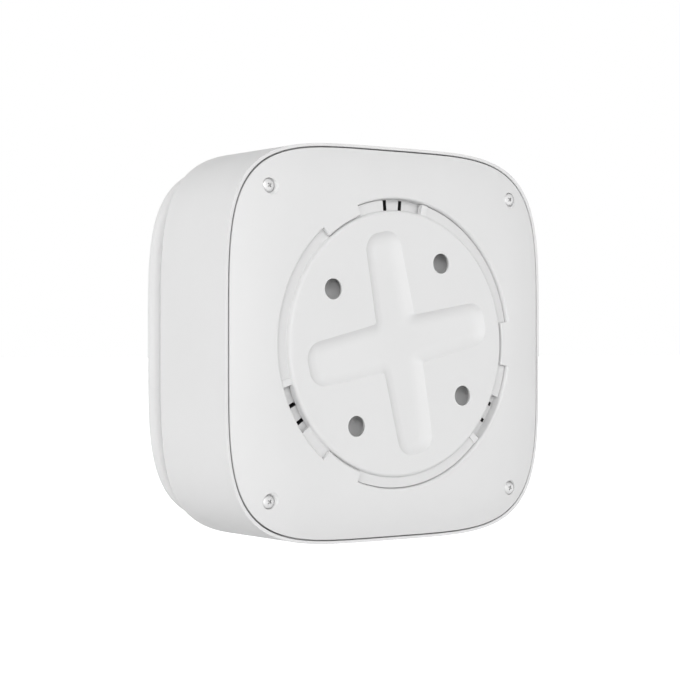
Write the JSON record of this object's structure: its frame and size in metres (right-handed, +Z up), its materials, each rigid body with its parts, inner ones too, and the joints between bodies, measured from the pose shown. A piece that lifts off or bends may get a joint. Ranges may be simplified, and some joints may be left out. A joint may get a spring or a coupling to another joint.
{
  "type": "smoke detector",
  "caption": "Square smoke detector with rounded corners, an inset front cap with a test button, perimeter air inlets and a round twist-lock wall plate.",
  "frame": {"origin": "middle of the circle of wall screw holes, on the mounting plate's wall face", "axes": "-Y out of the back towards the wall, +Y out into the room, +Z up, +X to the right as seen from the wall"},
  "size_m": [0.1244, 0.0583, 0.1244],
  "materials": {
    "plate_white": "fine matte moulded white",
    "cover_white": "fine matte moulded white",
    "shell_white": "fine matte moulded white",
    "cap_white": "fine matte moulded white",
    "button_white": "fine matte moulded white",
    "grille_white": "fine matte moulded light grey",
    "horn_white": "plain moulded",
    "screw_steel": "bright plated",
    "spring_steel": "drawn wire",
    "board_green": "satin solder mask over glass fibre",
    "parts_dark": "matte black packages",
    "chamber_black": "matte black so that it reflects no light",
    "screen_steel": "etched thin sheet",
    "eye_blue": "tinted clear resin",
    "eye_black": "dark tinted resin",
    "bead_brown": "dipped resin",
    "disc_brass": "rolled sheet",
    "holder_black": "plain moulded",
    "cell_wrap": "plain shrink wrap with no print",
    "contact_nickel": "nickel plated strip",
    "led_white": "clear resin over a white package",
    "clear_plastic": "clear moulded plastic",
    "switch_black": "plain moulded",
    "plunger_cream": "plain moulded",
    "tamper_grey": "plain moulded"
  },
  "bodies": {
    "wall_plate": {"mounting_plate": "plate_white"},
    "detector": {"back_cover": "cover_white", "cover_screws": "screw_steel", "outer_shell": "shell_white", "front_cap": "cap_white", "inlet_grille": "grille_white", "cap_screws": "screw_steel", "main_board": "board_green", "board_screws": "screw_steel", "board_parts": "parts_dark", "smoke_chamber_base": "chamber_black", "smoke_chamber_lid": "chamber_black", "insect_screen": "screen_steel", "light_emitter": "eye_blue", "light_receiver": "eye_black", "heat_sensor": "bead_brown", "sounder_horn": "horn_white", "sounder_disc": "disc_brass", "battery_holder": "holder_black", "battery_cells": "cell_wrap", "battery_contacts": "contact_nickel", "status_led": "led_white", "light_pipe": "clear_plastic", "button_switch": "switch_black", "tamper_spring": "spring_steel", "tamper_switch": "switch_black"},
    "button": {"test_button": "button_white", "button_clip": "screw_steel", "switch_plunger": "plunger_cream"},
    "tamper": {"tamper_plunger": "tamper_grey"}
  },
  "joints": [
    {"name": "bayonet_twist", "type": "hinge", "parent": "wall_plate", "child": "detector", "pos_m": [0, 0, 0], "axis": [0, 1, 0], "range_deg": [0, 32.8]},
    {"name": "test_press", "type": "slide", "parent": "detector", "child": "button", "axis": [0, -1, 0], "range_m": [0, 0.001], "stiffness_N_per_m": 600, "springref_m": -0.001},
    {"name": "tamper_press", "type": "slide", "parent": "detector", "child": "tamper", "axis": [0, 1, 0], "range_m": [0, 0.001], "stiffness_N_per_m": 400, "springref_m": -0.002, "deforming": ["tamper_spring"]}
  ]
}
